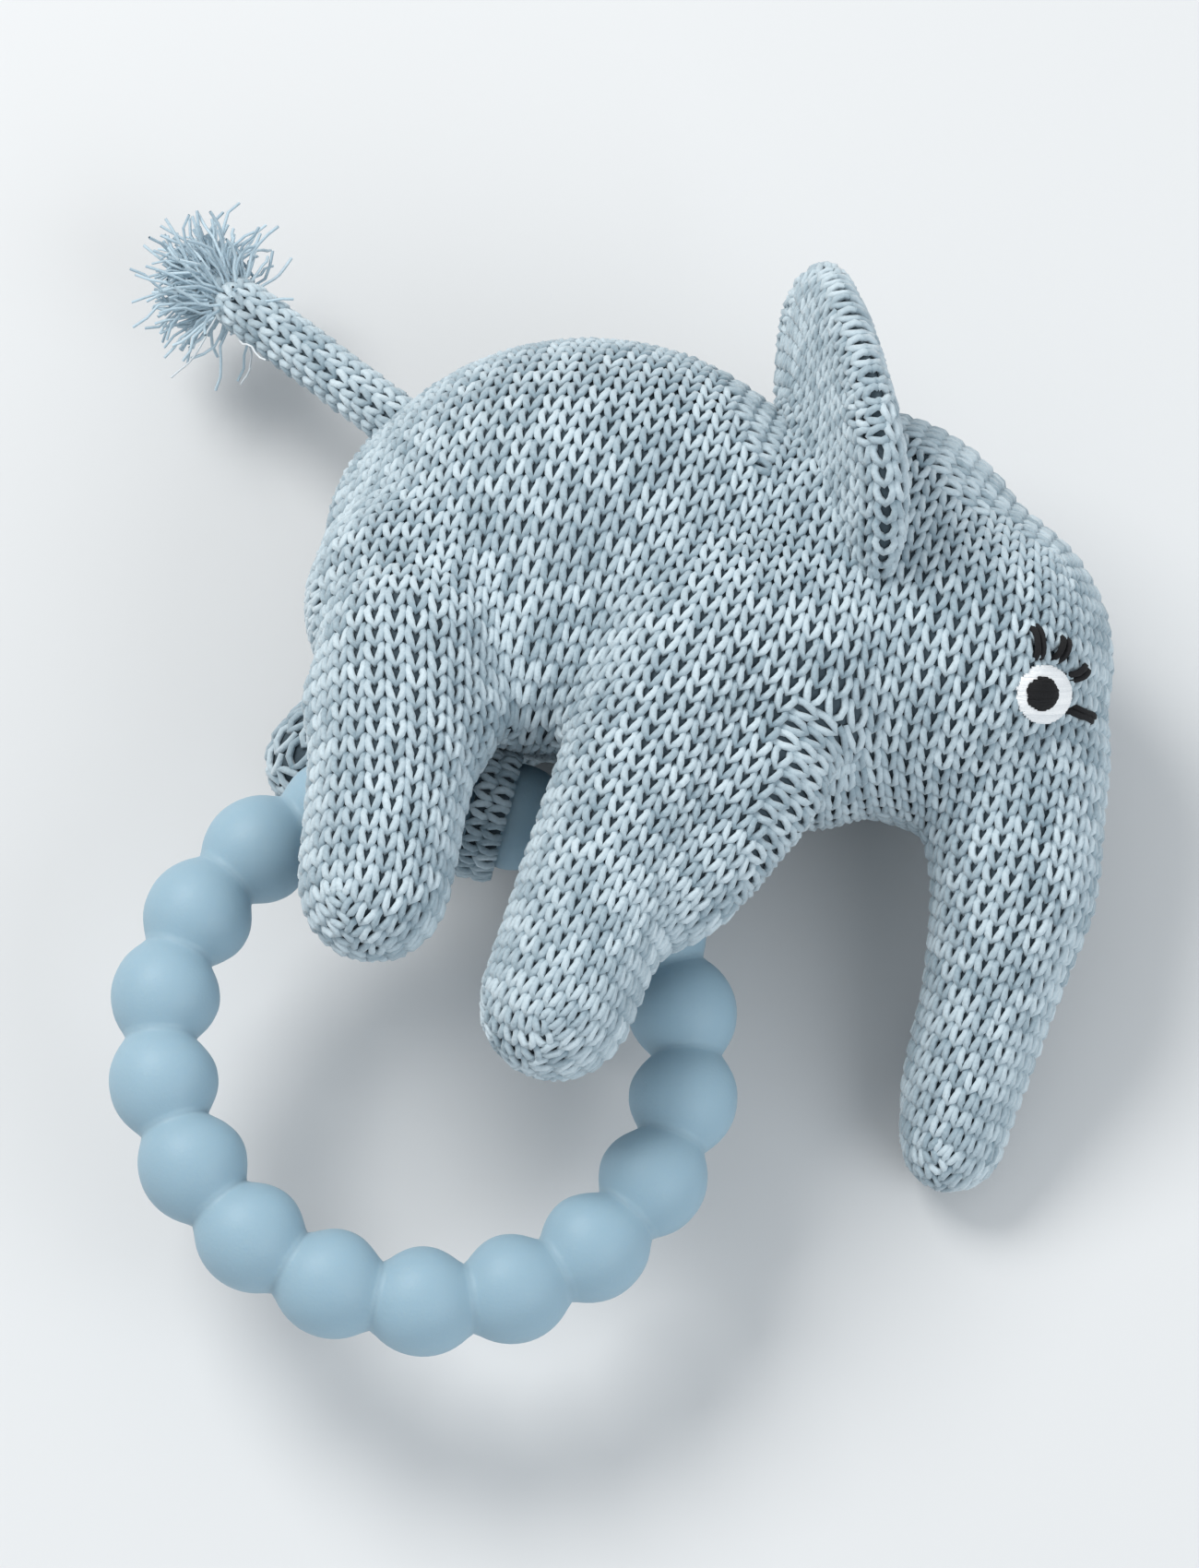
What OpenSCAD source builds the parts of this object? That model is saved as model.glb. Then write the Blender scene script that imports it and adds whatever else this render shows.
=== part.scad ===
// Small crocheted elephant with a silicone bead ring, lying on its left side.
// +X runs towards the head, +Y towards the back, +Z up through its right side.

/* [Body] */
// Length of the barrel from rump to neck
body_len = 52; // [50:0.5:54]
// Barrel radius
body_r = 22; // [21.5:0.1:22.5]
// Thickness of the crocheted cover
cover_t = 1.6; // [1.2:0.1:2]

/* [Head] */
// Head radius
head_r = 19.5; // [19:0.1:19.6]
// Radius of the trunk at its root
trunk_root_r = 8.8; // [8.4:0.1:8.8]
// Radius of the trunk at its tip
trunk_tip_r = 5; // [4.6:0.1:5.1]

/* [Ears] */
// Length of an ear along its seam
ear_len = 34; // [30:1:35]
// How far an ear stands out from its seam
ear_out = 15; // [12:0.5:16]
// Thickness of the two layers of an ear
ear_t = 4.2; // [3.4:0.1:4.4]

/* [Legs] */
// Root radius of the upper, right legs
right_leg_r = 9; // [8.6:0.1:9.1]
// Foot radius of the upper, right legs
right_foot_r = 7.2; // [6.8:0.1:7.4]
// Radius of the left front leg, which lies under the ring
left_front_r = 6.2; // [5.8:0.1:6.2]
// Radius of the left rear leg
left_rear_r = 6.6; // [6.2:0.1:6.6]

/* [Tail] */
// Radius of the crocheted tail
tail_r = 2.6; // [2.2:0.1:2.7]
// Radius of the yarn tuft
tuft_r = 4; // [3.6:0.1:4.2]

/* [Ring] */
// Number of beads moulded in the ring
beads = 18; // [18:1:18]
// Radius of the circle through the bead centres
ring_r = 26.4; // [26.2:0.1:26.6]
// Bead radius
bead_r = 5.5; // [5.3:0.1:5.6]
// Radius of the neck between two beads
neck_r = 4.2; // [3.6:0.1:4.4]
// Tilt of the ring about Y, where it rests on the legs
ring_tilt = 6; // [5.5:0.5:6]

/* [Eyes] */
// Radius of the white embroidered disc
eye_r = 2.6; // [2.2:0.1:2.6]
// Radius of the black pupil
pupil_r = 1.45; // [1.2:0.05:1.6]

/* [Hidden] */
$fn = 48;

// Moving bodies stay this far apart; stuffing stays fill_gap inside its cover
gap = 0.35;
fill_gap = 0.1;

body_c = [0, 0, 21];
body_power = 2.2;
head_c = [33.5, -8.9, 19.6];
// Points along the middle of the trunk, each followed by its radius there
trunk = [[43, -23.5, 19.6, trunk_root_r], [43.2, -34.9, 16.5, 8.5], [40.5, -45.3, 12.5, 7],
         [37.8, -53.5, 8.6, 6.1], [36.8, -58.9, 5.6, trunk_tip_r]];
trunk_root = [43, -23.5, 19.6];
trunk_way = [0.2, -11.4, -3.1];

// Each leg: centre of the hip, centre of the foot, root radius, foot radius
right_front = [[9.5, -16.9, 34.6], [-3.3, -53.4, 33.2], right_leg_r, right_foot_r];
right_rear = [[-18, -15.9, 35.8], [-21.3, -41.5, 35.4], right_leg_r, right_foot_r + 0.5];
left_front = [[9.5, -15.9, 6.4], [1.5, -39.9, 6.4], left_front_r, left_front_r];
left_rear = [[-10.5, -13.9, 6.8], [-27.5, -17.6, 6.8], left_rear_r, left_rear_r];
// Largest swing of the legs that their seats leave room for
leg_swing = 8;

right_ear_base = [[29, -6.9, 41.6], [20.3, 24.6, 34.2]];
right_ear_out = [0.3, -0.25, 0.92];
left_ear_base = [[33.5, 5.6, 2.3], [17.5, 13.1, 2.3]];
left_ear_out = [0.42, 0.9, 0];

tail_root = [-19.5, 14.1, 21];
tail_end = [-37, 30.6, 15];

ring_c = [-16.5, -53.2, 20.6];
loop_angle = 76;
loop_w = 3.4;
loop_in = bead_r + 0.6;
loop_t = 1.3;
loop_tab = 3;
// Room beside the loop in the belly, for its swing
loop_room = 0.7;

// Turns a shape that stands on +Z so that it points along v
module aim(p, v) {
    translate(p)
        rotate([0, acos(v.z / norm(v)), atan2(v.y, v.x)])
            children();
}

// A solid of revolution about X: a rounded barrel of half length a and radius r
module barrel(a, r, power) {
    steps = 22;
    half = [for (i = [0:steps]) let (t = 90 - 180 * i / steps)
        [r * pow(max(cos(t), 0), 2 / power), a * sign(t) * pow(abs(sin(t)), 2 / power)]];
    rotate([0, 90, 0])
        rotate_extrude()
            polygon(half);
}

// A leg or tail: a tapered round bar with two ball ends, grown by g all over
module limb(p, q, r1, r2, g = 0) {
    v = q - p;
    len = norm(v);
    lean = asin((r1 - r2) / len);
    a = r1 + g;
    b = r2 + g;
    aim(p, v)
        rotate_extrude()
            intersection() {
                union() {
                    circle(a);
                    translate([0, len]) circle(b);
                    polygon([[0, 0], [a * cos(lean), a * sin(lean)],
                             [b * cos(lean), len + b * sin(lean)], [0, len]]);
                }
                translate([0, -50]) square([50, 200]);
            }
}

module limb_of(leg, g = 0) {
    limb(leg[0], leg[1], leg[2], leg[3], g);
}

// The room that a limb needs while it swings about an upright axis through its root
module limb_seat(leg, g, swing) {
    v = leg[1] - leg[0];
    for (a = [-swing, 0, swing])
        hull() {
            translate(leg[0]) sphere(leg[2] + g, $fn = 28);
            translate(leg[0] + [v.x * cos(a) - v.y * sin(a), v.x * sin(a) + v.y * cos(a), v.z])
                sphere(leg[3] + g, $fn = 28);
        }
}

// A point and radius of the smooth curve through the trunk's points, with t from 0 to 4
function trunk_at(t) =
    let (i = floor(t), f = t - i,
         a = trunk[max(i - 1, 0)], b = trunk[i], c = trunk[min(i + 1, 4)], d = trunk[min(i + 2, 4)])
    b + f * (c - a) / 2 + f * f * (a - 2.5 * b + 2 * c - d / 2)
      + f * f * f * (1.5 * (b - c) + (d - a) / 2);

module trunk_ball(t, g) {
    at = trunk_at(t);
    translate([at.x, at.y, at.z]) sphere(at[3] + g, $fn = 24);
}

module trunk_form(g = 0) {
    for (t = [0:0.5:3.5])
        hull() {
            trunk_ball(t, g);
            trunk_ball(t + 0.5, g);
        }
}

// Everything that the barrel has to leave room for, grown by g
module body_seats(g) {
    translate(head_c) sphere(head_r + g);
    for (leg = [right_front, right_rear, left_front, left_rear])
        limb_seat(leg, g, leg_swing);
    translate(tail_root) sphere(tail_r + g + 0.6, $fn = 24);
    in_loop_frame()
        cylinder(h = loop_w + 2 * (loop_room + g), r = loop_in + loop_t + 1.9 + g, center = true);
}

module above_floor(z = 0) {
    intersection() {
        children();
        translate([-100, -100, z]) cube([200, 200, 100]);
    }
}

module body_form(inset = 0) {
    above_floor(inset)
        difference() {
            translate(body_c) barrel(body_len / 2 - inset, body_r - inset, body_power);
            body_seats(gap + inset);
        }
}

// The cover is open at the neck, where the head is sewn on
neck_open_r = 7;
module neck_opening(r) {
    translate(rattle_c) rotate([0, 90, 0]) cylinder(h = 40, r = r);
}

module body_cover() {
    color([0.62, 0.70, 0.74])
        difference() {
            body_form();
            body_form(cover_t);
            neck_opening(neck_open_r);
        }
}

rattle_c = [-2.5, 3.1, 22];
rattle_r = 9;
filling_hole_r = 2;
module body_stuffing() {
    color("white")
        difference() {
            body_form(cover_t + fill_gap);
            translate(rattle_c) sphere(rattle_r + fill_gap);
            neck_opening(filling_hole_r);
        }
}

module rattle_case() {
    color("ivory")
        translate(rattle_c)
            difference() {
                sphere(rattle_r);
                sphere(rattle_r - 1);
            }
}

module rattle_pellets() {
    color("silver")
        for (i = [0:6])
            translate(rattle_c + [3.2 * (i < 6 ? cos(60 * i) : 0), 3.2 * (i < 6 ? sin(60 * i) : 0), -5.6])
                sphere(1.2);
}

module head_seats(g) {
    translate(trunk_root) sphere(trunk_root_r + g);
    aim(trunk_root, trunk_way) cylinder(h = 20, r = trunk_root_r + g + 0.8);
}

module head_cover() {
    color([0.61, 0.69, 0.73])
        difference() {
            translate(head_c) sphere(head_r);
            translate(head_c) sphere(head_r - cover_t);
            head_seats(gap);
        }
}

module head_stuffing() {
    color("white")
        difference() {
            translate(head_c) sphere(head_r - cover_t - fill_gap);
            head_seats(gap + cover_t + fill_gap);
        }
}

// The trunk is open towards the head, where the two are joined
module trunk_cover() {
    color([0.57, 0.65, 0.70])
        difference() {
            trunk_form();
            trunk_form(-cover_t);
            aim(trunk_root, -trunk_way) cylinder(h = 20, r = 4);
        }
}

module trunk_stuffing() {
    color("white") trunk_form(-cover_t - fill_gap);
}

// Half an ellipse on its seam, two layers thick with a rounded edge
module ear(base, out) {
    along = base[1] - base[0];
    mid = (base[0] + base[1]) / 2;
    u = along / norm(along);
    w0 = cross(u, out);
    w = w0 / norm(w0);
    v = cross(w, u);
    r = ear_t / 2;
    half = ear_len / 2 - r;
    tall = ear_out - r;
    multmatrix([[u.x, v.x, w.x, mid.x], [u.y, v.y, w.y, mid.y], [u.z, v.z, w.z, mid.z],
                [0, 0, 0, 1]])
        hull()
            for (i = [0:12])
                translate([half * cos(15 * i), tall * sin(15 * i), 0])
                    sphere(r, $fn = 16);
}

module right_ear() {
    color([0.62, 0.69, 0.73]) ear(right_ear_base, right_ear_out);
}

module left_ear() {
    color([0.62, 0.69, 0.73]) ear(left_ear_base, left_ear_out);
}

// A thin patch of embroidery that lies on the head, from height h to h + t
module patch(dir, h, t) {
    intersection() {
        translate(head_c)
            difference() {
                sphere(head_r + h + t);
                sphere(head_r + h);
            }
        aim(head_c, dir) children();
    }
}

eye_dir = [12.7, -10.5, 10.4];
module eye_white(side) {
    color("white")
        patch([eye_dir.x, eye_dir.y, side * eye_dir.z], 0.05, 0.5)
            cylinder(h = 40, r = eye_r);
}

module pupil(side) {
    color([0.05, 0.05, 0.06])
        patch([eye_dir.x, eye_dir.y, side * eye_dir.z], 0.6, 0.5)
            cylinder(h = 40, r = pupil_r);
}

lash_len = 1.9;
lash_w = 0.9;
// Four stitches that fan out from the front and top of the disc
module lashes(side) {
    color([0.05, 0.05, 0.06])
        patch([eye_dir.x, eye_dir.y, side * eye_dir.z], 0.05, 0.6)
            for (a = [15, 73, 106, 153])
                rotate([0, 0, side > 0 ? a : 180 - a])
                    translate([eye_r + 0.2, -lash_w / 2, 0])
                        cube([lash_len, lash_w, 40]);
}

module right_eye_white() { eye_white(1); }
module left_eye_white() { eye_white(-1); }
module right_pupil() { pupil(1); }
module left_pupil() { pupil(-1); }
module right_lashes() { lashes(1); }
module left_lashes() { lashes(-1); }

module leg_cover(leg) {
    color([0.60, 0.68, 0.72])
        difference() {
            limb_of(leg);
            limb_of(leg, -cover_t);
        }
}

module leg_stuffing(leg) {
    color("white") limb_of(leg, -cover_t - fill_gap);
}

module right_front_leg_cover() { leg_cover(right_front); }
module right_front_leg_stuffing() { leg_stuffing(right_front); }
module right_rear_leg_cover() { leg_cover(right_rear); }
module right_rear_leg_stuffing() { leg_stuffing(right_rear); }
module left_front_leg_cover() { leg_cover(left_front); }
module left_front_leg_stuffing() { leg_stuffing(left_front); }
module left_rear_leg_cover() { leg_cover(left_rear); }
module left_rear_leg_stuffing() { leg_stuffing(left_rear); }

module tail() {
    color([0.64, 0.72, 0.76])
        difference() {
            limb(tail_root, tail_end, tail_r, tail_r);
            translate(tail_end) sphere(tail_r + fill_gap);
        }
}

// The tuft is gathered round the end of the tail and droops past it
module tail_tuft() {
    v = tail_end - tail_root;
    u = v / norm(v);
    color([0.50, 0.62, 0.70]) {
        translate(tail_end) sphere(tail_r);
        limb(tail_end + u * (tail_r + 1.6), tail_end + u * (tail_r + 8), tuft_r, tuft_r - 0.8);
    }
}

module in_ring_frame() {
    translate(ring_c) rotate([0, ring_tilt, 0]) children();
}

// The loop stands round the ring, with the ring's own axis upright
module in_loop_frame() {
    in_ring_frame()
        rotate([0, 0, loop_angle])
            translate([ring_r, 0, 0])
                rotate([90, 0, 0])
                    children();
}

// A narrow crocheted strap round the ring, with a short tab sewn to the belly
module belly_loop() {
    color([0.60, 0.68, 0.72])
        in_loop_frame()
            difference() {
                union() {
                    cylinder(h = loop_w, r = loop_in + loop_t, center = true);
                    translate([loop_in, -loop_tab / 2, -loop_w / 2])
                        cube([loop_t + 1.8, loop_tab, loop_w]);
                }
                cylinder(h = loop_w + 1, r = loop_in, center = true);
            }
}

module bead_ring() {
    color([0.60, 0.72, 0.80])
        in_ring_frame() {
            rotate_extrude($fn = 96)
                translate([ring_r, 0]) circle(neck_r);
            for (i = [0:beads - 1])
                rotate([0, 0, 360 * (i + 0.5) / beads])
                    translate([ring_r, 0, 0]) sphere(bead_r);
        }
}

body_cover();
body_stuffing();
rattle_case();
rattle_pellets();
head_cover();
head_stuffing();
trunk_cover();
trunk_stuffing();
right_ear();
left_ear();
right_eye_white();
right_pupil();
right_lashes();
left_eye_white();
left_pupil();
left_lashes();
right_front_leg_cover();
right_front_leg_stuffing();
right_rear_leg_cover();
right_rear_leg_stuffing();
left_front_leg_cover();
left_front_leg_stuffing();
left_rear_leg_cover();
left_rear_leg_stuffing();
tail();
tail_tuft();
belly_loop();
bead_ring();
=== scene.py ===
import math
import random

import bmesh
import bpy
from mathutils import Matrix, Vector
from mathutils.bvhtree import BVHTree


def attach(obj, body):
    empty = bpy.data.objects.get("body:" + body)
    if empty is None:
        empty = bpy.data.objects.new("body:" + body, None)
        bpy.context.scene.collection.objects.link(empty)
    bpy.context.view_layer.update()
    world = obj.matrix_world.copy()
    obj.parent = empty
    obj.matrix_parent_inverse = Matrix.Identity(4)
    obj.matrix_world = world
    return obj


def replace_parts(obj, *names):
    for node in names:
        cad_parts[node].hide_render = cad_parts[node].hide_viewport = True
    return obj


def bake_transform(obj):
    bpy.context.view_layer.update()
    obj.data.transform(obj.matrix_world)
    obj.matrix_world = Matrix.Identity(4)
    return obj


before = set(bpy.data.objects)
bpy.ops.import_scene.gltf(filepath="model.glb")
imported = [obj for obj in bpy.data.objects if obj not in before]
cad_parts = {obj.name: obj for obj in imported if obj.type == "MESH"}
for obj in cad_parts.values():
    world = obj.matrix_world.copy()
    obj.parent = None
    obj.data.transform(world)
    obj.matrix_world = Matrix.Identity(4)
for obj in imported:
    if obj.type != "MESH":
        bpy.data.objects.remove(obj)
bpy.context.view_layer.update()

# Studio: a pale seamless floor, a large soft key lamp from the upper left, a wide fill and a
# weak world light. The camera looks down at the elephant's right side through a long lens.
VIEW_UP = math.radians(70)
VIEW_AIM = Vector((0.001, -0.0235, 0.016))
VIEW_DISTANCE = 0.75
TO_CAMERA = Vector((0, -math.cos(VIEW_UP), math.sin(VIEW_UP)))
IMAGE_RIGHT = Vector((1, 0, 0))
IMAGE_UP = Vector((0, math.sin(VIEW_UP), math.cos(VIEW_UP)))


def place_looking(obj, place, target):
    obj.location = place
    obj.rotation_euler = (target - place).to_track_quat("-Z", "Y").to_euler()
    bpy.context.collection.objects.link(obj)


camera = bpy.data.objects.new("camera", bpy.data.cameras.new("camera"))
camera.data.lens = 150
camera.data.sensor_fit = "VERTICAL"
camera.data.sensor_height = 32
camera.data.clip_start = 0.01
place_looking(camera, VIEW_AIM + TO_CAMERA * VIEW_DISTANCE, VIEW_AIM)
bpy.context.scene.camera = camera


def soft_lamp(name, place, size, watts, tint):
    lamp = bpy.data.lights.new(name, "AREA")
    lamp.shape = "DISK"
    lamp.size = size
    lamp.energy = watts
    lamp.color = tint
    place_looking(bpy.data.objects.new(name, lamp), Vector(place), VIEW_AIM)


soft_lamp("key_lamp", (-0.40, 0.35, 0.70), 0.45, 5.7, (1.0, 0.985, 0.96))
soft_lamp("fill_lamp", (0.55, -0.50, 0.60), 0.7, 3.0, (0.93, 0.97, 1.0))
world = bpy.data.worlds.new("studio_world")
world.use_nodes = True
sky = world.node_tree.nodes["Background"]
sky.inputs["Color"].default_value = (0.93, 0.97, 1.0, 1)
sky.inputs["Strength"].default_value = 0.62
bpy.context.scene.world = world
bpy.context.scene.view_settings.view_transform = "Standard"

floor_bm = bmesh.new()
bmesh.ops.create_grid(floor_bm, x_segments=1, y_segments=1, size=3)
floor_mesh = bpy.data.meshes.new("studio_floor")
floor_bm.to_mesh(floor_mesh)
floor_bm.free()
floor = bpy.data.objects.new("studio_floor", floor_mesh)
bpy.context.collection.objects.link(floor)
floor_finish = bpy.data.materials.new("pale_floor")
floor_finish.use_nodes = True
floor_shader = floor_finish.node_tree.nodes["Principled BSDF"]
floor_shader.inputs["Base Color"].default_value = (0.66, 0.67, 0.68, 1)
floor_shader.inputs["Roughness"].default_value = 0.9
floor_mesh.materials.append(floor_finish)

# Stuffed form: the barrel, head, trunk and legs are knotted balls and bars of fibre filling
# under one stretched cover. They are modelled in millimetres, run together by a remesh and
# smoothed, so that a leg flares into the body as a filled, seamless cover does.
MM = 0.001
# The net of the cover lies this far inside the outline, and the stitches stand up from it
COVER_INSET = 0.6
# The lowest the net comes, so that the stitches under it just clear the floor
REST_HEIGHT = 0.95
STITCH = 1.87
BODY_CENTRE = Vector((0, 0, 21))
BODY_R = 22
BODY_HALF_LENGTH = 26
HEAD_CENTRE = Vector((33.5, -8.9, 19.6))
# The head is blunt: a ball at the face and a fuller one behind it that fills the neck
HEAD_BALLS = [((36.2, -11.6, 19.6), 17.4, 1.08), ((27.5, -3.6, 19.6), 18.7, 1.0)]
# The line of the trunk, with its radius at each point
TRUNK = [((43, -20.9, 19), 10.2), ((43.2, -34.9, 16.5), 8.6), ((40.5, -45.3, 12.5), 7.0),
         ((37.8, -53.5, 8.6), 6.4), ((36.8, -58.6, 6.0), 5.6)]
# Hip, foot, radius at the hip and radius at the foot
LEGS = {
    "right_front_leg": ((9.5, -16.9, 34.6), (-3.3, -53.0, 33.4), 9.0, 7.8),
    "right_rear_leg": ((-18, -15.9, 35.8), (-21.3, -41.5, 35.4), 9.0, 7.7),
    "left_front_leg": ((9.5, -15.9, 6.4), (1.5, -39.9, 6.4), 6.2, 6.2),
    "left_rear_leg": ((-10.5, -13.9, 6.8), (-27.5, -17.6, 6.8), 6.6, 6.6),
}
# Where the right legs flare into the body and the chest fills out: centre, radius, flattening
HAUNCHES = [((11.5, -14.5, 31.0), 13.5, 0.85), ((12.0, -27.0, 32.0), 12.5, 0.56),
            ((6.0, -36.5, 32.6), 11.0, 0.60), ((-16.0, -9.5, 30.0), 13.0, 0.85),
            ((-18.5, -22.0, 34.5), 10.5, 0.72), ((-18.0, -6.0, 20.0), 11.5, 0.9),
            ((-12.0, 1.0, 21.0), 15.2, 1.0), ((21.5, -15.5, 21.0), 14.2, 1.0),
            ((-21.0, -11.5, 9.0), 8.0, 0.9), ((-5.0, -12.0, 29.5), 13.0, 0.78),
            ((19.0, -14.5, 29.3), 14.0, 0.8), ((9.5, -33.0, 31.8), 10.6, 0.62)]


def filled_ball(form, centre, radius, stretch=(1, 1, 1)):
    size = [(radius - COVER_INSET) * s for s in stretch]
    bmesh.ops.create_uvsphere(form, u_segments=32, v_segments=20, radius=1,
                              matrix=Matrix.Translation(centre) @ Matrix.Diagonal((*size, 1)))


def filled_bar(form, start, end, start_r, end_r):
    start, end = Vector(start), Vector(end)
    way = end - start
    turn = way.to_track_quat("Z", "Y").to_matrix().to_4x4()
    bmesh.ops.create_cone(form, cap_ends=True, segments=40, depth=way.length,
                          radius1=start_r - COVER_INSET, radius2=end_r - COVER_INSET,
                          matrix=Matrix.Translation((start + end) / 2) @ turn)
    filled_ball(form, start, start_r)
    filled_ball(form, end, end_r)


def mesh_object(name, source):
    """Puts a bmesh or a finished mesh in the scene as an object."""
    if isinstance(source, bmesh.types.BMesh):
        made = bpy.data.meshes.new(name)
        source.to_mesh(made)
        source.free()
    else:
        made = source
        made.name = name
    obj = bpy.data.objects.new(name, made)
    bpy.context.collection.objects.link(obj)
    return obj


def run_together(obj, voxel, rounds):
    """Fuses the overlapping balls of a form and rubs its creases smooth."""
    melt = obj.modifiers.new("melt", "REMESH")
    melt.mode = "VOXEL"
    melt.voxel_size = voxel
    rub = obj.modifiers.new("rub", "SMOOTH")
    rub.factor = 0.5
    rub.iterations = rounds
    seen = bpy.context.evaluated_depsgraph_get()
    done = bpy.data.meshes.new_from_object(obj.evaluated_get(seen))
    obj.modifiers.clear()
    obj.data = done
    return obj


def net_of_quads(obj, cell):
    """Lays an even net of squares, one for each stitch, over a form."""
    area = sum(face.area for face in obj.data.polygons)
    for other in bpy.context.selected_objects:
        other.select_set(False)
    bpy.context.view_layer.objects.active = obj
    obj.select_set(True)
    bpy.ops.object.quadriflow_remesh(mode="FACES", target_faces=round(area / cell ** 2), seed=0)
    return obj


elephant_bm = bmesh.new()
filled_ball(elephant_bm, BODY_CENTRE, BODY_R, (BODY_HALF_LENGTH / BODY_R, 1, 1))
for centre, radius, tall in HEAD_BALLS:
    filled_ball(elephant_bm, centre, radius, (1, 1, tall))
for (start, start_r), (end, end_r) in zip(TRUNK, TRUNK[1:]):
    filled_bar(elephant_bm, start, end, start_r, end_r)
for hip, foot, hip_r, foot_r in LEGS.values():
    filled_bar(elephant_bm, hip, foot, hip_r, foot_r)
for centre, radius, flat in HAUNCHES:
    filled_ball(elephant_bm, centre, radius, (1, 1, flat))
elephant = run_together(mesh_object("elephant_form", elephant_bm), voxel=0.9, rounds=30)
for vertex in elephant.data.vertices:
    vertex.co.z = max(vertex.co.z, REST_HEIGHT)
net_of_quads(elephant, STITCH)
elephant.data.update()

# Yarn: pale grey-blue four-ply cotton, matt with a little fuzz. Each stitch has its own tone,
# and fine twisted fibres show as streaks and as bump.
FIBRE_STREAKS = 0.45


def colour_node(tree, factor, dark, light):
    blend = tree.nodes.new("ShaderNodeMix")
    blend.data_type = "RGBA"
    blend.inputs["A"].default_value = (*dark, 1)
    blend.inputs["B"].default_value = (*light, 1)
    tree.links.new(factor, blend.inputs["Factor"])
    return blend.outputs["Result"]


def yarn_finish(name, dark, light, sheen=0.35):
    finish = bpy.data.materials.new(name)
    finish.use_nodes = True
    tree = finish.node_tree
    shader = tree.nodes["Principled BSDF"]
    shader.inputs["Roughness"].default_value = 0.92
    shader.inputs["Sheen Weight"].default_value = sheen
    shader.inputs["Sheen Roughness"].default_value = 0.5
    place = tree.nodes.new("ShaderNodeTexCoord")
    fibre = tree.nodes.new("ShaderNodeTexNoise")
    fibre.inputs["Scale"].default_value = 2600
    fibre.inputs["Detail"].default_value = 3
    tree.links.new(place.outputs["Object"], fibre.inputs["Vector"])
    tone = tree.nodes.new("ShaderNodeAttribute")
    tone.attribute_name = "tone"
    streaked = tree.nodes.new("ShaderNodeMath")
    streaked.operation = "MULTIPLY_ADD"
    streaked.inputs[1].default_value = FIBRE_STREAKS
    tree.links.new(fibre.outputs["Fac"], streaked.inputs[0])
    tree.links.new(tone.outputs["Fac"], streaked.inputs[2])
    colour = colour_node(tree, streaked.outputs["Value"], dark, light)
    tree.links.new(colour, shader.inputs["Base Color"])
    bump = tree.nodes.new("ShaderNodeBump")
    bump.inputs["Strength"].default_value = 0.5
    bump.inputs["Distance"].default_value = 0.0002
    tree.links.new(fibre.outputs["Fac"], bump.inputs["Height"])
    tree.links.new(bump.outputs["Normal"], shader.inputs["Normal"])
    return finish


cover_yarn = yarn_finish("cover_yarn", (0.19, 0.275, 0.33), (0.63, 0.73, 0.785))
# painted shade: a dark copy of the yarn for the sheet under the stitches, standing in for the shadow
# in the holes
painted_hole_shade = yarn_finish("painted_hole_shade", (0.035, 0.055, 0.07), (0.10, 0.14, 0.17), 0.0)

# Crochet: each square of the net carries one stitch, a V of yarn whose foot is tucked under
# the tops of the row below. Under the stitches lies a sheet of painted shade, dark in the holes.
YARN_R = 0.41
YARN_TONES = (0.12, 0.68)
# Places along one stitch: across and along its square, as parts of it, and height in millimetres
STITCH_PATH = [(-0.30, 0.58, -0.08), (-0.38, 0.18, 0.34), (-0.25, -0.24, 0.44), (0, -0.58, 0.05),
               (0.25, -0.24, 0.44), (0.38, 0.18, 0.34), (0.30, 0.58, -0.08)]
SIDES = 6
stitch_luck = random.Random(7)


def in_square(a, b, c, d, u, v):
    """The value at (u, v) in a square whose corners hold a, b, c and d."""
    return (a * (1 - u) + b * u) * (1 - v) + (d * (1 - u) + c * u) * v


def stitch_paths(net, faces, guide):
    """One path for each square, turned so that its columns run along guide."""
    paths = []
    for face in faces:
        corners = [net.vertices[i] for i in face.vertices]
        if len(corners) != 4:
            continue
        way = guide(face.center)
        turns = []
        for k in range(4):
            low = (corners[k].co + corners[(k + 1) % 4].co) / 2
            high = (corners[(k + 2) % 4].co + corners[(k + 3) % 4].co) / 2
            turns.append(((high - low).normalized().dot(way), k))
        k = max(turns)[1]
        a, b, c, d = [corners[(k + i) % 4] for i in range(4)]
        puff = stitch_luck.uniform(0.85, 1.15)
        lean = stitch_luck.uniform(-0.05, 0.05)
        path = []
        for across, along, height in STITCH_PATH:
            u, v = across + lean + 0.5, along + 0.5
            spot = in_square(a.co, b.co, c.co, d.co, u, v)
            out = in_square(a.normal, b.normal, c.normal, d.normal, u, v)
            path.append(spot + out.normalized() * height * puff)
        paths.append(path)
    return paths


def yarn_tubes(paths, radius, sides=SIDES, painted_tuck_shade=0.0):
    """Sweeps yarn along each path. Every length has its own tone, with painted shade where it is
    tucked in.
    """
    curve = bpy.data.curves.new("yarn", "CURVE")
    curve.dimensions = "3D"
    curve.bevel_depth = radius
    curve.bevel_resolution = (sides - 4) // 2
    for path in paths:
        spline = curve.splines.new("POLY")
        spline.points.add(len(path) - 1)
        for point, place in zip(spline.points, path):
            point.co = (*place, 1)
    holder = bpy.data.objects.new("yarn", curve)
    bpy.context.collection.objects.link(holder)
    seen = bpy.context.evaluated_depsgraph_get()
    made = bpy.data.meshes.new_from_object(holder.evaluated_get(seen))
    bpy.data.objects.remove(holder)
    tones = []
    for path in paths:
        own = stitch_luck.uniform(*YARN_TONES)
        for step in range(len(path)):
            # painted shade: the tone drops at both tucked ends and at the foot of the V, standing in
            # for the shadow there
            painted_shade = painted_tuck_shade * (1 + math.cos(4 * math.pi * step / (len(path) - 1)))
            tones += [own - painted_shade] * sides
    made.attributes.new("tone", "FLOAT", "POINT").data.foreach_set("value", tones)
    for face in made.polygons:
        face.use_smooth = True
    return made


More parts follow.
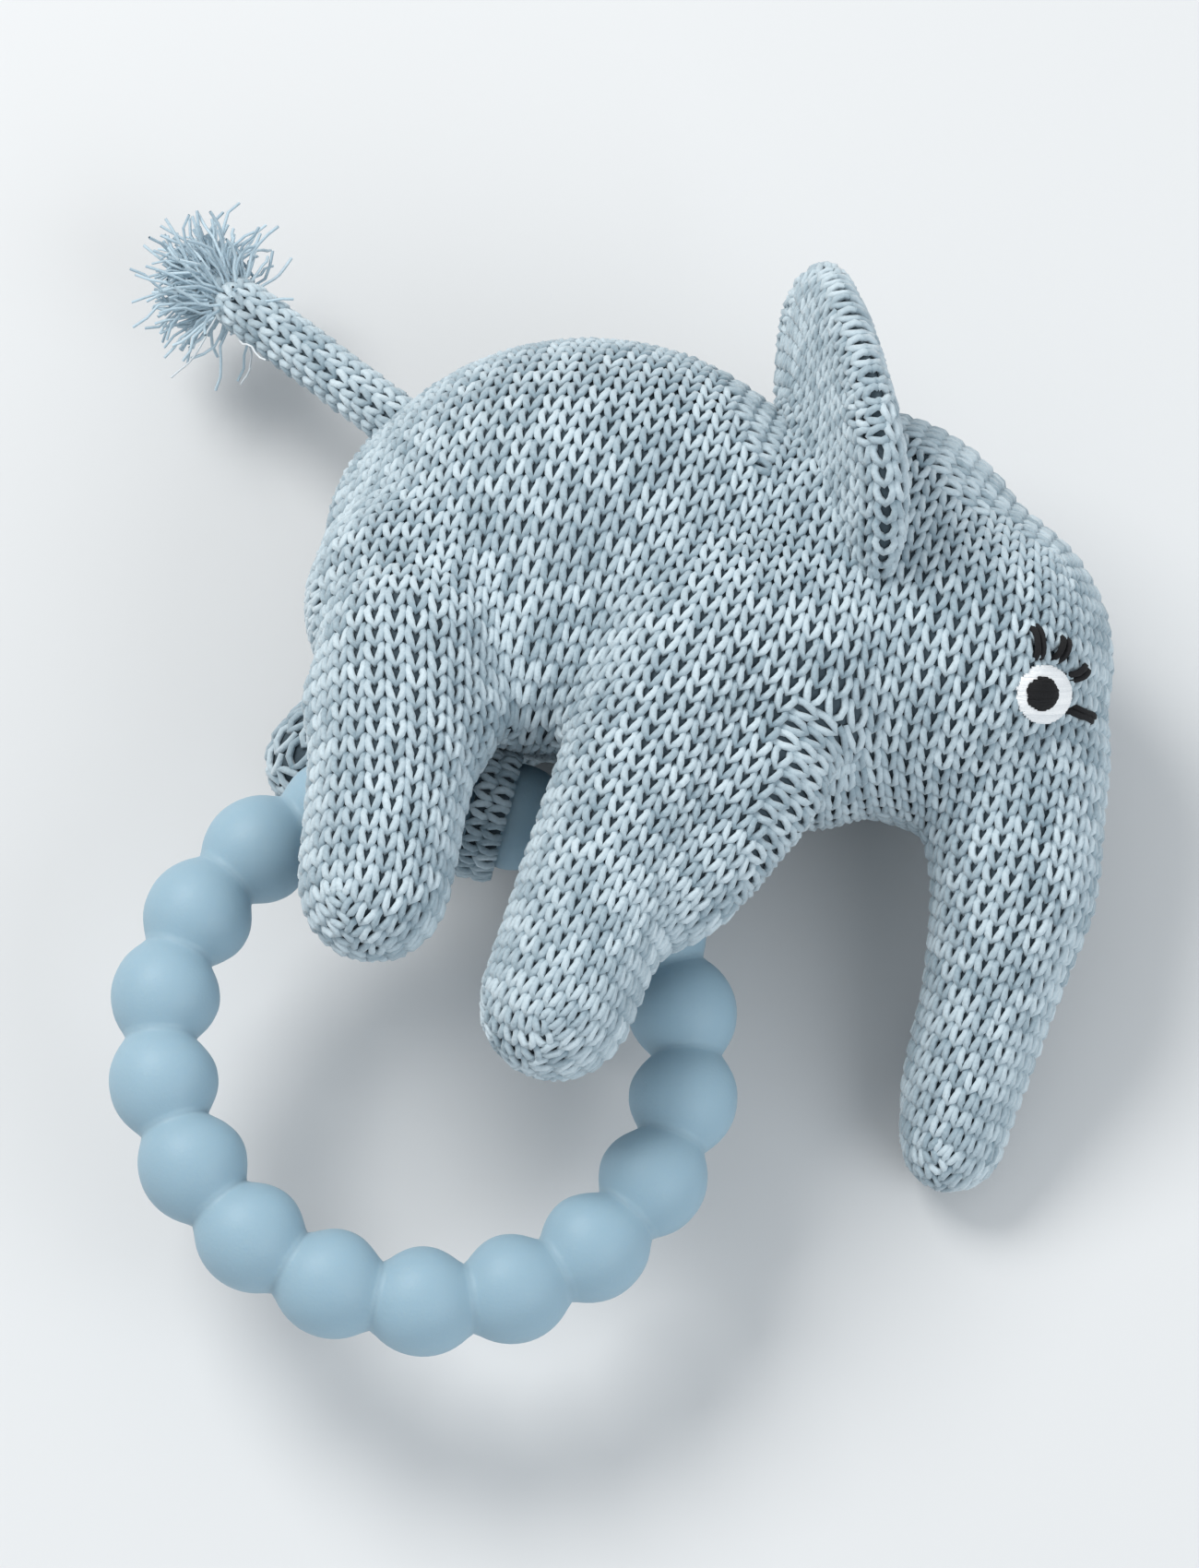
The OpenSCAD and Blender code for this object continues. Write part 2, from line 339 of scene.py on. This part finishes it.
def keep_faces(form, faces):
    """Deletes every face of a bmesh but these, which are faces of the mesh it was made from."""
    kept = {face.index for face in faces}
    bmesh.ops.delete(form, geom=[f for f in form.faces if f.index not in kept], context="FACES")


def crocheted(name, net, faces, guide):
    """A crocheted piece: the stitches of these faces over a sheet of painted shade for the holes."""
    stitches = yarn_tubes(stitch_paths(net, faces, guide), YARN_R, painted_tuck_shade=0.16)
    cover_bm = bmesh.new()
    cover_bm.from_mesh(net)
    keep_faces(cover_bm, faces)
    # the net under the stitches takes the painted shade
    for face in cover_bm.faces:
        face.material_index = 1
    cover_bm.from_mesh(stitches)
    for face in cover_bm.faces:
        face.smooth = True
    bmesh.ops.scale(cover_bm, vec=(MM, MM, MM), verts=cover_bm.verts)
    made = mesh_object(name, cover_bm)
    made.data.materials.append(cover_yarn)
    made.data.materials.append(painted_hole_shade)
    return made


# The neck is a plane at NECK across NECK_WAY, and the head lies beyond it
NECK = Vector((16.5, -4.5, 20))
NECK_WAY = Vector((0.98, 0.2, 0))
TRUNK_START = Vector(TRUNK[0][0])
TRUNK_WAY = (Vector(TRUNK[1][0]) - TRUNK_START).normalized()
TRUNK_CUT = 7.0
TRUNK_END = Vector((36.2, -62.5, 3.5))
# How far from its line the trunk's piece reaches, and where the chest begins behind it
TRUNK_ASIDE = 22
CHEST_X = 25
# How far down a leg its own piece starts, and where it has taken up the whole swing
LEG_CUTS = {"right": (11.0, 22.0), "left": (9.0, 17.0)}
LEG_ASIDE = 8
# The height that parts the right legs from the left ones
LEGS_PART = 16.0
# The columns of stitches turn from one direction to the next within this distance of a border
TURN_SPAN = 6
TURN_ASIDE = 4


def part_of(spot):
    """The name of the part of the elephant that a point of its cover belongs to."""
    near = []
    for name, (hip, foot, hip_r, foot_r) in LEGS.items():
        side = name.split("_")[0]
        hip, foot = Vector(hip), Vector(foot)
        way = (foot - hip).normalized()
        along = (spot - hip).dot(way)
        aside = (spot - hip - way * along).length
        own_side = (side == "right") == (spot.z > LEGS_PART)
        if own_side and along > LEG_CUTS[side][0] and aside < hip_r + LEG_ASIDE:
            near.append((aside, name))
    if near:
        return min(near)[1]
    along = (spot - TRUNK_START).dot(TRUNK_WAY)
    aside = (spot - TRUNK_START - TRUNK_WAY * along).length
    if along > TRUNK_CUT and aside < TRUNK_ASIDE and spot.x > CHEST_X:
        return "trunk"
    if (spot - NECK).dot(NECK_WAY) > 0:
        return "head"
    return "body"


def nearer(distance, span):
    """Rises smoothly from 0 to 1 while distance goes from -span to span."""
    t = min(max(distance / span / 2 + 0.5, 0), 1)
    return t * t * (3 - 2 * t)


def columns(spot):
    """The way the columns of stitches run: round the barrel, and along the head and limbs."""
    away = spot - BODY_CENTRE
    way = Vector((0, away.z, -away.y)).normalized()
    for name, (hip, foot, hip_r, foot_r) in LEGS.items():
        hip, foot = Vector(hip), Vector(foot)
        down = (foot - hip).normalized()
        along = (spot - hip).dot(down)
        if along > -TURN_SPAN and (spot - hip - down * along).length < hip_r + TURN_ASIDE:
            from_tip = (spot - foot - down * foot_r * 0.8).normalized()
            way = way.lerp(from_tip, nearer(along, TURN_SPAN))
    on_the_head = nearer((spot - NECK).dot(NECK_WAY), TURN_SPAN)
    return way.lerp((spot - TRUNK_END).normalized(), on_the_head)


net = elephant.data
faces_of = {}
for face in net.polygons:
    faces_of.setdefault(part_of(face.center), []).append(face)
cover = {}
for name in sorted(faces_of):
    cover[name] = crocheted(name + "_crochet", net, faces_of[name], columns)
    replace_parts(cover[name], name + "_cover")
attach(cover["body"], "torso")
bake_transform(cover["head"])
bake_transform(cover["trunk"])
for name, (hip, foot, hip_r, foot_r) in LEGS.items():
    hip, way = Vector(hip), (Vector(foot) - Vector(hip)).normalized()
    near, far = LEG_CUTS[name.split("_")[0]]
    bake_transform(cover[name])
# The filling of the head follows its cover, a little way inside it
HEAD_FILL_INSET = 1.4
head_fill_bm = bmesh.new()
head_fill_bm.from_mesh(net)
for vertex in head_fill_bm.verts:
    vertex.co -= vertex.normal * HEAD_FILL_INSET
keep_faces(head_fill_bm, faces_of["head"])
bmesh.ops.scale(head_fill_bm, vec=(MM, MM, MM), verts=head_fill_bm.verts)
head_fill = mesh_object("head_filling", head_fill_bm)
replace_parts(head_fill, "head_stuffing")
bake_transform(head_fill)
skin = BVHTree.FromObject(elephant, bpy.context.evaluated_depsgraph_get())
bpy.data.objects.remove(elephant)

# Ears: two round crocheted layers sewn edge to edge and lightly filled, sewn along the neck.
# The right one stands up towards the side, and the left one lies folded out on the floor.
EAR_CURL = 2.2
EAR_SUNK = 2.2
# The layers and the rim lie this far inside the outline, and below the seam the ear is shorter
EAR_LAYER_INSET = 0.3
EAR_RIM_INSET = 1
EAR_ROOT_PART = 0.62
# Both ends of the seam, the way out from it, how far it stands out and how thick it is
EARS = {
    "right_ear": ((30, -8.5, 41.6), (21.8, 24.4, 34.2), (0.3, -0.25, 0.92), 16.5, 5.6),
    "left_ear": ((33.5, 5.6, 3.1), (17.5, 13.1, 3.1), (0.42, 0.9, 0), 15.0, 4.4),
}


def ear_frame(base_a, base_b, out):
    """A frame with X along the seam, Z out from the head and Y through the layers."""
    along = (Vector(base_b) - Vector(base_a)).normalized()
    through = Vector(out).cross(along).normalized()
    outward = along.cross(through)
    turn = Matrix((along, through, outward)).transposed().to_4x4()
    return Matrix.Translation((Vector(base_a) + Vector(base_b)) / 2) @ turn


for name, (base_a, base_b, out, tall, thick) in EARS.items():
    stand = ear_frame(base_a, base_b, out)
    half = (Vector(base_b) - Vector(base_a)).length / 2
    leaf = bmesh.new()
    bmesh.ops.create_uvsphere(leaf, u_segments=96, v_segments=64, radius=1)
    for vertex in leaf.verts:
        x, y, z = vertex.co
        spread = max(math.hypot(x, z), 0.02) ** -0.5
        x, z = x * spread, z * spread
        curl = EAR_CURL * z * z * math.cos(x)
        height = z * (tall - EAR_RIM_INSET)
        if z <= 0:
            height *= EAR_ROOT_PART
        vertex.co = (x * half, y * (thick / 2 - EAR_LAYER_INSET) + curl, height)
    bmesh.ops.transform(leaf, matrix=stand @ Matrix.Translation((0, 0, -EAR_SUNK)), verts=leaf.verts)
    form = run_together(mesh_object(name + "_form", leaf), voxel=0.5, rounds=8)
    net_of_quads(form, STITCH)
    if name == "left_ear":
        for vertex in form.data.vertices:
            vertex.co.z = max(vertex.co.z, REST_HEIGHT)
        form.data.update()
    outward = stand.to_3x3() @ Vector((0, 0, 1))
    ear = crocheted(name + "_crochet", form.data, list(form.data.polygons), lambda spot: outward)
    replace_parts(ear, name)
    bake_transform(ear)
    bpy.data.objects.remove(form)

# Tail: a narrow tube crocheted in the same yarn, nine stitches round. Its root is sewn into the
# rump, and its last two rounds draw in over the tuft.
TAIL_ROOT = Vector((-19.5, 14.1, 21))
TAIL_END = Vector((-37, 30.6, 15))
TAIL_R = 2.3
TAIL_SUNK = 2
TAIL_ROUND = 1.75
TAIL_DRAW_IN = 0.72


def face_outwards(net, inner_point):
    """Turns the faces of a tube outwards, judged by its first one."""
    first = net.polygons[0]
    if (first.center - inner_point).dot(first.normal) < 0:
        net.flip_normals()


def in_order(net):
    """The faces sorted by place, because the extrusion gives them in an order that varies."""
    return sorted(net.polygons, key=lambda face: tuple(round(part, 3) for part in face.center))


TAIL_WAY = (TAIL_END - TAIL_ROOT).normalized()
tail_turn = TAIL_WAY.to_track_quat("Z", "Y").to_matrix().to_4x4()
tube = bmesh.new()
tail_start = Matrix.Translation(TAIL_ROOT - TAIL_WAY * TAIL_SUNK) @ tail_turn
bmesh.ops.create_circle(tube, segments=9, radius=TAIL_R, matrix=tail_start)
ring_edges = tube.edges[:]
rounds = round(((TAIL_END - TAIL_ROOT).length + TAIL_SUNK + TAIL_R) / TAIL_ROUND)
for turn in range(rounds):
    grown = bmesh.ops.extrude_edge_only(tube, edges=ring_edges)["geom"]
    ring_verts = [item for item in grown if isinstance(item, bmesh.types.BMVert)]
    ring_edges = [item for item in grown if isinstance(item, bmesh.types.BMEdge)]
    bmesh.ops.translate(tube, verts=ring_verts, vec=TAIL_WAY * TAIL_ROUND)
    if turn >= rounds - 2:
        middle = sum((vertex.co for vertex in ring_verts), Vector()) / len(ring_verts)
        for vertex in ring_verts:
            vertex.co = middle.lerp(vertex.co, TAIL_DRAW_IN)
bmesh.ops.recalc_face_normals(tube, faces=tube.faces)
tail_net = bpy.data.meshes.new("tail_net")
tube.to_mesh(tail_net)
tube.free()
face_outwards(tail_net, TAIL_ROOT)
tail = crocheted("tail_crochet", tail_net, in_order(tail_net), lambda spot: TAIL_WAY)
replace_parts(tail, "tail")
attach(tail, "tail")

# Tuft: loose blue-grey yarn ends drawn through the end of the tail, brushed out, with a few
# long threads that hang down from it.
tuft_yarn = yarn_finish("tuft_yarn", (0.22, 0.33, 0.41), (0.60, 0.74, 0.82))
loose_thread = yarn_finish("loose_thread", (0.50, 0.57, 0.61), (0.85, 0.88, 0.90))
TUFT_STRANDS = 420
TUFT_LENGTHS = (3.5, 9.0)
THREAD_LENGTH = 9.0
THREAD_SIDES = (-1.2, 0.2, 1.4)
FLOOR_GAP = 0.5
tuft_luck = random.Random(11)


def loose_end(start, way, length, droop, bend, points=6):
    """A yarn end that leaves start along way, wanders and droops."""
    path, spot, heading = [], Vector(start), Vector(way)
    for step in range(points):
        path.append(spot.copy())
        spot += heading.normalized() * (length / (points - 1))
        wander = Vector([tuft_luck.uniform(-bend, bend) for axis in range(3)])
        heading = heading.normalized() + wander + Vector((0, -droop * 0.3, -droop))
    for spot in path:
        spot.z = max(spot.z, FLOOR_GAP)
    return path


ends = []
for strand in range(TUFT_STRANDS):
    splay = Vector([tuft_luck.gauss(0, 0.45) for axis in range(3)])
    root = TAIL_END + TAIL_WAY * 1.8 + splay * 2.2
    length = tuft_luck.uniform(*TUFT_LENGTHS)
    ends.append(loose_end(root, TAIL_WAY + splay, length, droop=0.06, bend=0.5))
hanging = []
for side in THREAD_SIDES:
    root = TAIL_END + TAIL_WAY * 1.0 + Vector((side, -1.5, 0))
    hanging.append(loose_end(root, Vector((0.25 * side, -1, -0.15)), THREAD_LENGTH,
                             droop=0.03, bend=0.42, points=12))


def yarn_piece(name, paths, radius, finish, sides=SIDES):
    """Plain lengths of yarn or thread as one piece."""
    made = yarn_tubes(paths, radius, sides)
    made.materials.append(finish)
    made.transform(Matrix.Scale(MM, 4))
    return mesh_object(name, made)


def ends_piece(name, paths, radius, finish):
    piece = yarn_piece(name, paths, radius, finish, sides=4)
    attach(piece, "tail")
    return piece


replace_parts(ends_piece("tail_tuft_yarn", ends, 0.17, tuft_yarn), "tail_tuft")
ends_piece("tail_threads", hanging, 0.12, loose_thread)

# Eyes: a white disc in satin stitch, a smaller black pupil over it and four straight black
# lash stitches. They are laid out flat as seen from the side and draped on the head.
EYE_SPOT = Vector((45.2, -18.9, 30.0))
EYE_R = 2.75
PUPIL_R = 1.45
PUPIL_SHIFT = (-0.45, 0.15)
THREAD_R = 0.24
ROW_POINTS = 9
# Direction in degrees, and where the lash starts and ends from the middle of the eye
LASHES = [(98, 3.5, 6.7), (69, 3.5, 6.0), (31, 3.1, 5.2), (-27, 3.1, 6.0)]
LASH_R = 0.36
LASH_LIFT = (0.2, 0.8, 1.05, 1.1, 1.05, 0.8, 0.2)
CLEAR_OF_HEAD = 60
white_thread = yarn_finish("white_thread", (0.66, 0.69, 0.72), (0.93, 0.94, 0.95))
black_thread = yarn_finish("black_thread", (0.001, 0.001, 0.0015), (0.008, 0.008, 0.010), 0.0)


def on_head(right, up, height, side):
    """The point of the head at a place in the side view, raised by height."""
    aim = EYE_SPOT + IMAGE_RIGHT * right + IMAGE_UP * up
    spot, normal = skin.ray_cast(aim + TO_CAMERA * CLEAR_OF_HEAD, -TO_CAMERA)[:2]
    raised = spot + normal * height
    return raised if side > 0 else Vector((raised.x, raised.y, 2 * HEAD_CENTRE.z - raised.z))


def satin_disc(radius, low, high, side, ragged, shift=(0, 0)):
    """Threads laid side by side across a disc, low at its rim and high in the middle."""
    paths = []
    rows = round(radius / (THREAD_R * 0.8))
    for row in range(-rows, rows + 1):
        up = row / rows * radius * 0.96
        reach = math.sqrt(radius ** 2 - up ** 2) * (1 + tuft_luck.uniform(-ragged, ragged))
        path = []
        for step in range(ROW_POINTS):
            right = reach * (2 * step / (ROW_POINTS - 1) - 1)
            crown = max(0, 1 - (right ** 2 + up ** 2) / radius ** 2) ** 0.5
            path.append(on_head(right + shift[0], up + shift[1], low + (high - low) * crown, side))
        paths.append(path)
    return paths


def thread_piece(name, paths, radius, finish, replaced):
    piece = yarn_piece(name, paths, radius, finish)
    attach(piece, "head")
    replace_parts(piece, replaced)


for side, label in ((1, "right"), (-1, "left")):
    disc_paths = satin_disc(EYE_R, 0.45, 1.0, side, ragged=0.03)
    disc_paths += satin_disc(EYE_R * 0.93, 0.1, 0.6, side, ragged=0.03)
    thread_piece(label + "_eye_disc", disc_paths, THREAD_R, white_thread,
                 label + "_eye_white")
    pupil_paths = satin_disc(PUPIL_R, 0.95, 1.5, side, ragged=0.06, shift=PUPIL_SHIFT)
    thread_piece(label + "_eye_pupil", pupil_paths, THREAD_R, black_thread,
                 label + "_pupil")
    lash_paths = []
    for angle, near, far in LASHES:
        turn = math.radians(angle)
        for lie in (-0.28, 0.28):
            path = []
            for step, lift in enumerate(LASH_LIFT):
                reach = near + (far - near) * step / (len(LASH_LIFT) - 1)
                path.append(on_head(reach * math.cos(turn) - lie * math.sin(turn),
                                    reach * math.sin(turn) + lie * math.cos(turn), lift, side))
            lash_paths.append(path)
    thread_piece(label + "_eye_lashes", lash_paths, LASH_R, black_thread,
                 label + "_lashes")

# Teething ring: one moulded piece of matt light blue silicone, eighteen beads run together by
# short necks round a circle. It hangs in a loop at the belly, between the legs.
RING_CENTRE = Vector((-16.5, -53.2, 20.6))
RING_R = 26.4
RING_TILT = math.radians(6)
BEADS = 18
BEAD_R = 5.5
BEAD_NECK_R = 3.4
# How softly a bead runs into its neck
BEAD_ROUNDING = 0.4
STEPS_PER_BEAD = 16
silicone = bpy.data.materials.new("silicone")
silicone.use_nodes = True
tree = silicone.node_tree
shader = tree.nodes["Principled BSDF"]
shader.inputs["Roughness"].default_value = 0.52
shader.inputs["Specular IOR Level"].default_value = 0.35
shader.inputs["Subsurface Weight"].default_value = 0.25
shader.inputs["Subsurface Radius"].default_value = (0.004, 0.006, 0.008)
shader.inputs["Subsurface Scale"].default_value = 0.5
place = tree.nodes.new("ShaderNodeTexCoord")
cloud = tree.nodes.new("ShaderNodeTexNoise")
cloud.inputs["Scale"].default_value = 60
cloud.inputs["Detail"].default_value = 2
grain = tree.nodes.new("ShaderNodeTexNoise")
grain.inputs["Scale"].default_value = 3000
tree.links.new(place.outputs["Object"], cloud.inputs["Vector"])
tree.links.new(place.outputs["Object"], grain.inputs["Vector"])
cloudy = colour_node(tree, cloud.outputs["Fac"], (0.265, 0.395, 0.480), (0.305, 0.445, 0.535))
tree.links.new(cloudy, shader.inputs["Base Color"])
bump = tree.nodes.new("ShaderNodeBump")
bump.inputs["Strength"].default_value = 0.25
bump.inputs["Distance"].default_value = 0.0001
tree.links.new(grain.outputs["Fac"], bump.inputs["Height"])
tree.links.new(bump.outputs["Normal"], shader.inputs["Normal"])

ring_bm = bmesh.new()
across_ring = Matrix.Translation((RING_R, 0, 0)) @ Matrix.Rotation(math.pi / 2, 4, "X")
bmesh.ops.create_circle(ring_bm, segments=32, radius=BEAD_R, matrix=across_ring)
bmesh.ops.spin(ring_bm, geom=ring_bm.verts[:] + ring_bm.edges[:], cent=(0, 0, 0), axis=(0, 0, 1),
               angle=2 * math.pi, steps=BEADS * STEPS_PER_BEAD, use_merge=True, use_duplicate=False)
bmesh.ops.remove_doubles(ring_bm, verts=ring_bm.verts, dist=0.001)
pitch = 2 * math.pi / BEADS
for vertex in ring_bm.verts:
    angle = math.atan2(vertex.co.y, vertex.co.x)
    middle = Vector((math.cos(angle), math.sin(angle), 0)) * RING_R
    off_bead = ((angle / pitch) % 1 - 0.5) * pitch * RING_R
    ball = math.sqrt(max(BEAD_R ** 2 - off_bead ** 2, 0.01))
    ball_part = math.exp(ball / BEAD_ROUNDING)
    neck_part = math.exp(BEAD_NECK_R / BEAD_ROUNDING)
    grown = BEAD_ROUNDING * math.log(ball_part + neck_part) - 0.03
    vertex.co = middle + (vertex.co - middle).normalized() * min(grown, BEAD_R)
bmesh.ops.recalc_face_normals(ring_bm, faces=ring_bm.faces)
ring_place = Matrix.Translation(RING_CENTRE) @ Matrix.Rotation(RING_TILT, 4, "Y")
bmesh.ops.transform(ring_bm, matrix=Matrix.Scale(MM, 4) @ ring_place, verts=ring_bm.verts)
for face in ring_bm.faces:
    face.smooth = True
ring = mesh_object("bead_ring_silicone", ring_bm)
ring.data.materials.append(silicone)
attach(ring, "ring")
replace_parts(ring, "bead_ring")

# Belly loop: a strap crocheted in the same yarn, two rows wide. It goes round the ring, and its
# ends are sewn to the belly between the legs.
LOOP_ANGLE = math.radians(76)
LOOP_R = 6.75
LOOP_W = 3.4
LOOP_ROWS = 2
loop_place = ring_place @ Matrix.Rotation(LOOP_ANGLE, 4, "Z") @ across_ring
strap = bmesh.new()
bmesh.ops.create_circle(strap, segments=24, radius=LOOP_R,
                        matrix=Matrix.Translation((0, 0, -LOOP_W / 2)))
hoop_edges = strap.edges[:]
for row in range(LOOP_ROWS):
    grown = bmesh.ops.extrude_edge_only(strap, edges=hoop_edges)["geom"]
    hoop_edges = [item for item in grown if isinstance(item, bmesh.types.BMEdge)]
    hoop_verts = [item for item in grown if isinstance(item, bmesh.types.BMVert)]
    bmesh.ops.translate(strap, verts=hoop_verts, vec=(0, 0, LOOP_W / LOOP_ROWS))
bmesh.ops.recalc_face_normals(strap, faces=strap.faces)
bmesh.ops.transform(strap, matrix=loop_place, verts=strap.verts)
strap_net = bpy.data.meshes.new("strap_net")
strap.to_mesh(strap_net)
strap.free()
face_outwards(strap_net, loop_place.translation)
loop_way = loop_place.to_3x3() @ Vector((0, 0, 1))
loop = crocheted("belly_loop_crochet", strap_net, in_order(strap_net), lambda spot: loop_way)
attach(loop, "belly_loop")
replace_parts(loop, "belly_loop")

# Filling and rattle: white polyester fibre in every part, and in the barrel a hard ivory case
# with small steel-grey pellets that roll in it. They are closed in by the cover.
def plain_finish(name, colour, roughness, grain_size, relief):
    finish = bpy.data.materials.new(name)
    finish.use_nodes = True
    tree = finish.node_tree
    shader = tree.nodes["Principled BSDF"]
    shader.inputs["Roughness"].default_value = roughness
    place = tree.nodes.new("ShaderNodeTexCoord")
    grain = tree.nodes.new("ShaderNodeTexNoise")
    grain.inputs["Scale"].default_value = grain_size
    grain.inputs["Detail"].default_value = 4
    tree.links.new(place.outputs["Object"], grain.inputs["Vector"])
    darker = tuple(part * 0.8 for part in colour)
    mottled = colour_node(tree, grain.outputs["Fac"], darker, colour)
    tree.links.new(mottled, shader.inputs["Base Color"])
    bump = tree.nodes.new("ShaderNodeBump")
    bump.inputs["Strength"].default_value = relief
    bump.inputs["Distance"].default_value = 0.0005
    tree.links.new(grain.outputs["Fac"], bump.inputs["Height"])
    tree.links.new(bump.outputs["Normal"], shader.inputs["Normal"])
    return finish


fibre_fill = plain_finish("fibre_fill", (0.86, 0.86, 0.84), 0.95, 900, 1.0)
head_fill.data.materials.append(fibre_fill)
inside = {name + "_stuffing": fibre_fill for name in ["body", "trunk", *LEGS]}
inside["rattle_case"] = plain_finish("rattle_plastic", (0.80, 0.76, 0.66), 0.35, 200, 0.05)
inside["rattle_pellets"] = plain_finish("pellets", (0.45, 0.46, 0.48), 0.3, 600, 0.1)
for node, finish in inside.items():
    for material_slot in bpy.data.objects[node].material_slots:
        material_slot.material = finish
